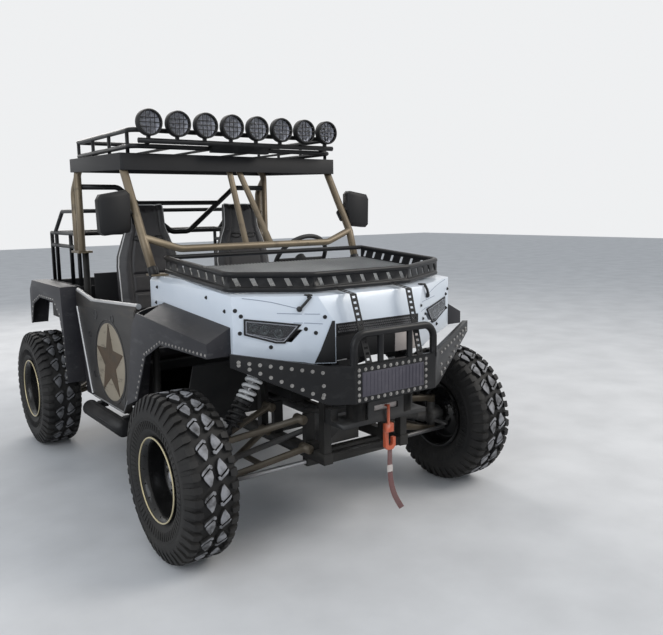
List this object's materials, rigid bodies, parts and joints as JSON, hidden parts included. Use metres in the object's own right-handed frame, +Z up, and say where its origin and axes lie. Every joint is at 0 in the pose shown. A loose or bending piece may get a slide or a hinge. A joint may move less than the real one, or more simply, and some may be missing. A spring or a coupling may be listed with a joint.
{
  "type": "side by side utv",
  "caption": "Two seat side by side utility vehicle with tube cage, hood and roof racks, lamp bar, half doors, tipping bed and long arm suspension on wide lugged tyres.",
  "frame": {"origin": "on the ground, at the middle of the vehicle's length and width", "axes": "+Z up, the vehicle drives towards -Y, its left side is +X"},
  "size_m": [1.905, 3.15, 2.056],
  "materials": {
    "frame_steel": "satin",
    "tan_tube": "worn satin",
    "black_tube": "satin",
    "winch_black": "satin",
    "white_shell": "gloss",
    "grey_sheet": "satin",
    "door_steel": "worn satin",
    "black_plastic": "matte",
    "roof_plastic": "matte",
    "lamp_glass": "clear",
    "red_lens": "gloss",
    "tyre": "dusty",
    "rim_black": "gloss",
    "arm_gold": "satin",
    "spring_white": "satin",
    "seat_vinyl": "satin",
    "hook_red": "satin",
    "strap_web": "woven",
    "wheel_grip": "matte",
    "cast_metal": "rough",
    "plain_steel": "dull"
  },
  "bodies": {
    "body": {"chassis_frame": "frame_steel", "frame_uprights": "frame_steel", "floor_tub": "black_plastic", "dashboard": "black_plastic", "drivetrain": "cast_metal", "front_arms": "arm_gold", "rear_arms": "arm_gold", "shocks": "spring_white", "front_body": "white_shell", "grille": "black_plastic", "headlights": "lamp_glass", "bumper": "black_tube", "winch": "winch_black", "winch_hook": "hook_red", "winch_strap": "strap_web", "hood_rack": "black_tube", "fender_flares": "grey_sheet", "rear_side_panels": "grey_sheet", "front_cage": "tan_tube", "rear_hoop": "tan_tube", "rear_brace": "black_tube", "roof": "roof_plastic", "roof_rack": "black_tube", "roof_lamps": "lamp_glass", "seats": "seat_vinyl", "mirrors": "black_plastic", "side_steps": "black_tube", "rear_bumper": "black_tube", "exhaust": "plain_steel"},
    "steering": {"steering_wheel": "wheel_grip"},
    "rack": {"tie_rods": "plain_steel"},
    "knuckle_left": {"knuckle_left": "cast_metal"},
    "knuckle_right": {"knuckle_right": "cast_metal"},
    "wheel_fl": {"tyre_fl": "tyre", "rim_fl": "rim_black"},
    "wheel_fr": {"tyre_fr": "tyre", "rim_fr": "rim_black"},
    "wheel_rl": {"tyre_rl": "tyre", "rim_rl": "rim_black"},
    "wheel_rr": {"tyre_rr": "tyre", "rim_rr": "rim_black"},
    "door_left": {"door_left": "door_steel"},
    "door_right": {"door_right": "door_steel"},
    "bed": {"cargo_bed": "black_plastic", "bed_rack": "black_tube", "tail_lamps": "red_lens"},
    "tailgate": {"tailgate": "black_plastic"}
  },
  "joints": [
    {"name": "steering_turn", "type": "hinge", "parent": "body", "child": "steering", "pos_m": [0.36, -0.275, 1.232], "axis": [0, 0.8191, 0.5736], "range_deg": [-270, 270]},
    {"name": "rack_slide", "type": "slide", "parent": "body", "child": "rack", "axis": [1, 0, 0], "range_m": [-0.053, 0.053]},
    {"name": "knuckle_left_turn", "type": "hinge", "parent": "body", "child": "knuckle_left", "pos_m": [0.7, -1.06, 0.375], "axis": [0, 0, 1], "range_deg": [-30, 30]},
    {"name": "knuckle_right_turn", "type": "hinge", "parent": "body", "child": "knuckle_right", "pos_m": [-0.7, -1.06, 0.375], "axis": [0, 0, 1], "range_deg": [-30, 30]},
    {"name": "wheel_fl_spin", "type": "hinge", "parent": "knuckle_left", "child": "wheel_fl", "pos_m": [0.83, -1.06, 0.375], "axis": [1, 0, 0], "continuous": true},
    {"name": "wheel_fr_spin", "type": "hinge", "parent": "knuckle_right", "child": "wheel_fr", "pos_m": [-0.83, -1.06, 0.375], "axis": [1, 0, 0], "continuous": true},
    {"name": "wheel_rl_spin", "type": "hinge", "parent": "body", "child": "wheel_rl", "pos_m": [0.815, 1.06, 0.375], "axis": [1, 0, 0], "continuous": true},
    {"name": "wheel_rr_spin", "type": "hinge", "parent": "body", "child": "wheel_rr", "pos_m": [-0.815, 1.06, 0.375], "axis": [1, 0, 0], "continuous": true},
    {"name": "door_left_swing", "type": "hinge", "parent": "body", "child": "door_left", "pos_m": [0.716, -0.332, 0.94], "axis": [0, 0, -1], "range_deg": [0, 65]},
    {"name": "door_right_swing", "type": "hinge", "parent": "body", "child": "door_right", "pos_m": [-0.716, -0.332, 0.94], "axis": [0, 0, 1], "range_deg": [0, 65]},
    {"name": "bed_tip", "type": "hinge", "parent": "body", "child": "bed", "pos_m": [0, 1.332, 0.762], "axis": [-1, 0, 0], "range_deg": [0, 40]},
    {"name": "tailgate_drop", "type": "hinge", "parent": "bed", "child": "tailgate", "pos_m": [0, 1.426, 0.81], "axis": [-1, 0, 0], "range_deg": [0, 90]}
  ],
  "couplings": [
    {"joint": "knuckle_left_turn", "follows": "steering_turn", "ratio": 0.1111},
    {"joint": "knuckle_right_turn", "follows": "steering_turn", "ratio": 0.1111},
    {"joint": "rack_slide", "follows": "steering_turn", "m_per_rad": 0.01114}
  ]
}
